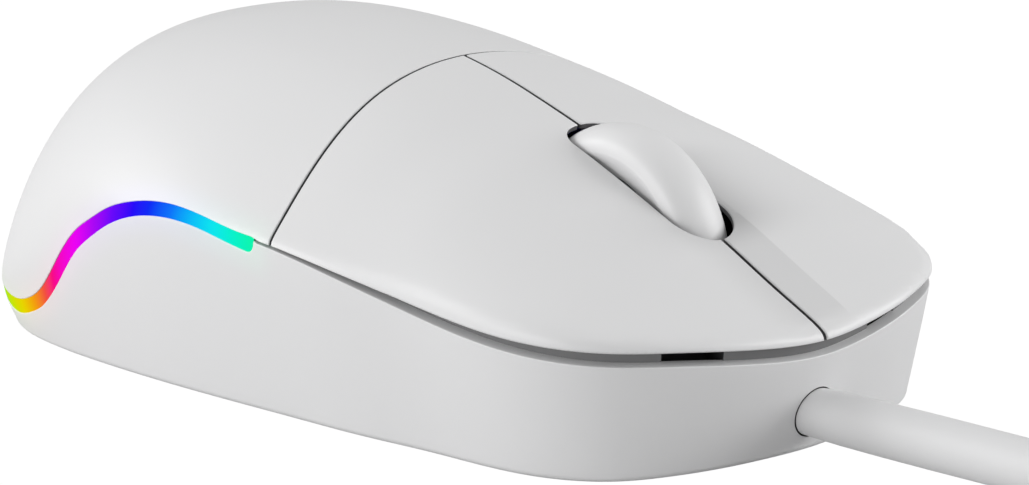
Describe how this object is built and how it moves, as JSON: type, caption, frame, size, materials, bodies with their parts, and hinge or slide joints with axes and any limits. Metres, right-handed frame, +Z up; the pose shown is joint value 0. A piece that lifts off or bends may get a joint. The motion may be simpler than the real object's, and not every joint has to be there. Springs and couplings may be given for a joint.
{
  "type": "computer mouse",
  "caption": "Corded ambidextrous computer mouse: domed palm shell, split buttons, scroll wheel, wave-shaped light strip round the back, internals, coiled cord with plug.",
  "frame": {"origin": "centre of the body's footprint at the plane the feet rest on", "axes": "+Z up out of the palm, -Y towards the nose where the cord leaves, -X towards the mouse's right-hand side"},
  "size_m": [0.094, 0.2275, 0.0361],
  "materials": {
    "shell": "satin off-white moulding",
    "frame": "mid grey moulding",
    "strip": "milky diffuser lit in rainbow colours",
    "tyre_gloss": "glossy white",
    "hub": "satin white",
    "steel": "bright steel",
    "dark_plastic": "dark grey moulding",
    "black_plastic": "black moulding",
    "plunger": "red moulding",
    "board": "green solder mask",
    "lens": "clear moulded lens",
    "ivory": "ivory moulding",
    "pad": "slick dark pad",
    "cord_jacket": "smooth soft off-white jacket"
  },
  "bodies": {
    "case": {"base_shell": "shell", "palm_shell": "shell", "inner_frame": "frame", "light_strip": "strip", "board_screw_1": "steel", "board_screw_2": "steel", "board_screw_3": "steel", "board_screw_4": "steel", "case_screw_right": "steel", "case_screw_left": "steel", "mode_switch": "steel", "usb_plug_shell": "steel", "cord_tie": "dark_plastic", "right_switch": "black_plastic", "left_switch": "black_plastic", "middle_switch": "black_plastic", "sensor_chip": "black_plastic", "controller_chip": "black_plastic", "capacitor": "black_plastic", "main_board": "board", "mode_board": "board", "light_board": "board", "sensor_lens": "lens", "cord_header": "ivory", "cord_connector": "ivory", "led_right": "ivory", "led_rear": "ivory", "led_left": "ivory", "usb_tongue": "ivory", "front_foot": "pad", "rear_foot": "pad", "sensor_ring": "pad", "cord_boot": "cord_jacket", "cord": "cord_jacket", "cord_coil": "cord_jacket", "cord_tail": "cord_jacket", "usb_plug_body": "cord_jacket"},
    "right_button": {"right_button": "shell"},
    "left_button": {"left_button": "shell"},
    "carriage": {"wheel_carriage": "dark_plastic", "wheel_encoder": "black_plastic"},
    "wheel": {"wheel_tyre": "tyre_gloss", "wheel_hub": "hub", "wheel_axle": "steel"},
    "right_plunger": {"right_switch_plunger": "plunger"},
    "left_plunger": {"left_switch_plunger": "plunger"},
    "middle_plunger": {"middle_switch_plunger": "plunger"},
    "mode_button": {"mode_button": "dark_plastic"},
    "mode_plunger": {"mode_switch_plunger": "black_plastic"}
  },
  "joints": [
    {"name": "right_click", "type": "hinge", "parent": "case", "child": "right_button", "pos_m": [0, -0.007, 0.0195], "axis": [1, 0, 0], "range_deg": [0, 0.95], "stiffness_Nm_per_rad": 12, "springref_deg": -0.17},
    {"name": "left_click", "type": "hinge", "parent": "case", "child": "left_button", "pos_m": [0, -0.007, 0.0195], "axis": [1, 0, 0], "range_deg": [0, 0.95], "stiffness_Nm_per_rad": 12, "springref_deg": -0.17},
    {"name": "right_plunger_travel", "type": "slide", "parent": "case", "child": "right_plunger", "axis": [0, 0, -1], "range_m": [0, 0.00055]},
    {"name": "left_plunger_travel", "type": "slide", "parent": "case", "child": "left_plunger", "axis": [0, 0, -1], "range_m": [0, 0.00055]},
    {"name": "wheel_click", "type": "hinge", "parent": "case", "child": "carriage", "pos_m": [0, -0.014, 0.009], "axis": [1, 0, 0], "range_deg": [0, 2.2], "stiffness_Nm_per_rad": 2, "springref_deg": -1.15},
    {"name": "middle_plunger_travel", "type": "slide", "parent": "case", "child": "middle_plunger", "axis": [0, 0, -1], "range_m": [0, 0.0007]},
    {"name": "wheel_spin", "type": "hinge", "parent": "carriage", "child": "wheel", "pos_m": [0, -0.031, 0.0166], "axis": [1, 0, 0], "continuous": true},
    {"name": "mode_press", "type": "slide", "parent": "case", "child": "mode_button", "axis": [0, 0, 1], "range_m": [0, 0.0004], "stiffness_N_per_m": 400, "springref_m": -0.0002},
    {"name": "mode_plunger_travel", "type": "slide", "parent": "case", "child": "mode_plunger", "axis": [0, 0, 1], "range_m": [0, 0.0004]}
  ],
  "couplings": [
    {"joint": "right_plunger_travel", "follows": "right_click", "m_per_rad": 0.031},
    {"joint": "left_plunger_travel", "follows": "left_click", "m_per_rad": 0.031},
    {"joint": "middle_plunger_travel", "follows": "wheel_click", "m_per_rad": 0.017},
    {"joint": "mode_plunger_travel", "follows": "mode_press", "ratio": 1}
  ]
}
